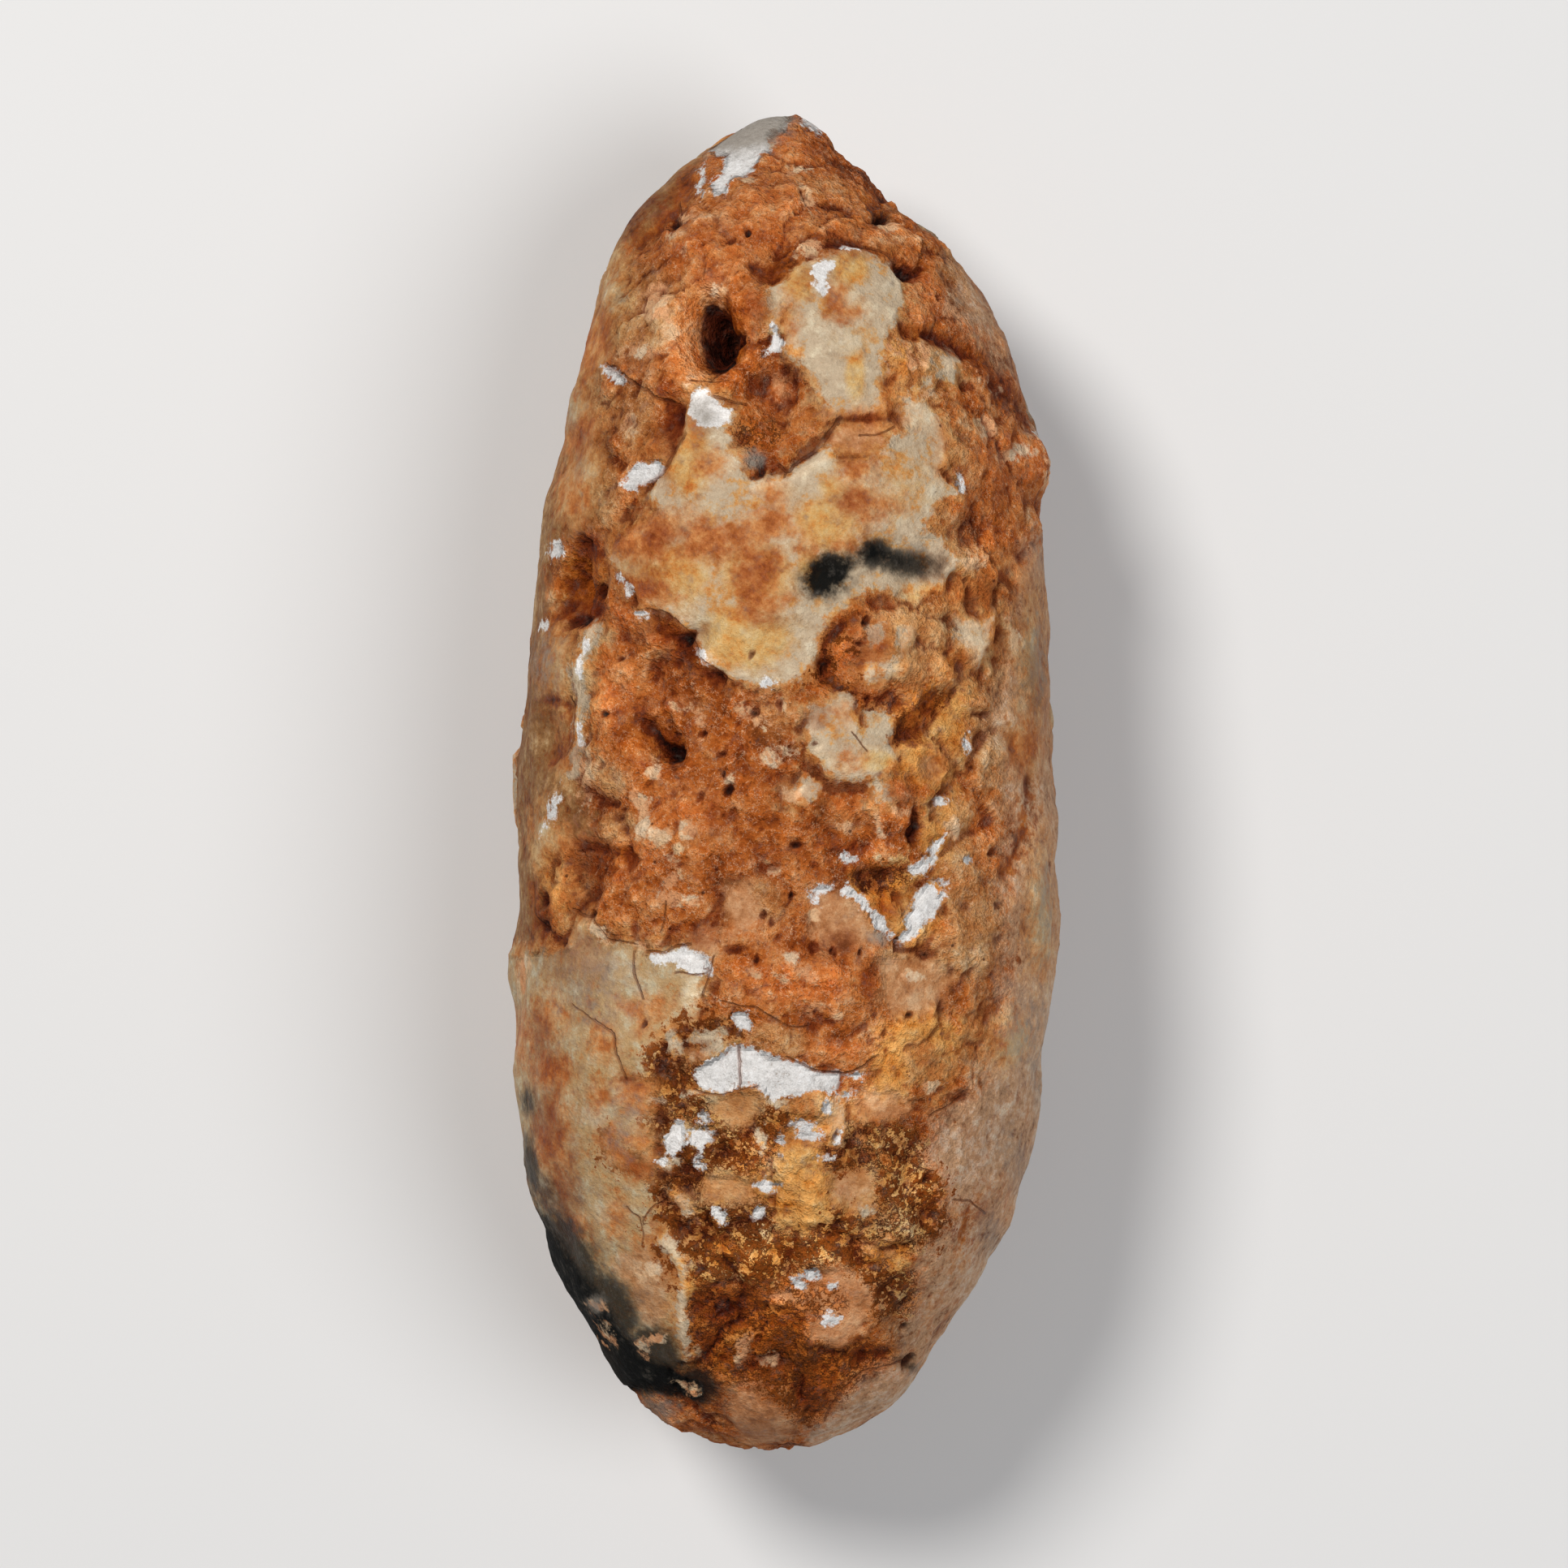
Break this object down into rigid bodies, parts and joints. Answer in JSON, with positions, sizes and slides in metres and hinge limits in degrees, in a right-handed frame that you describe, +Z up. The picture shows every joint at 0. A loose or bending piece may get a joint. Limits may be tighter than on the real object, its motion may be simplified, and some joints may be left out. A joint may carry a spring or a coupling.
{
  "type": "fossil conifer cone",
  "caption": "Solid silicified conifer cone lying on its side: a slim egg shape with a blunt tip, a weathered mottled face, shallow sockets and worn scale stubs.",
  "frame": {"origin": "on the surface it lies on, under the middle of the stone's bounding box", "axes": "+Y along the cone towards its pointed tip, +Z up out of the weathered face, +X across"},
  "size_m": [0.029, 0.07, 0.0258],
  "materials": {
    "fossil_stone": "weathered agate, matt with waxy plates"
  },
  "bodies": {
    "root": {"fossil_cone": "fossil_stone"}
  },
  "joints": []
}
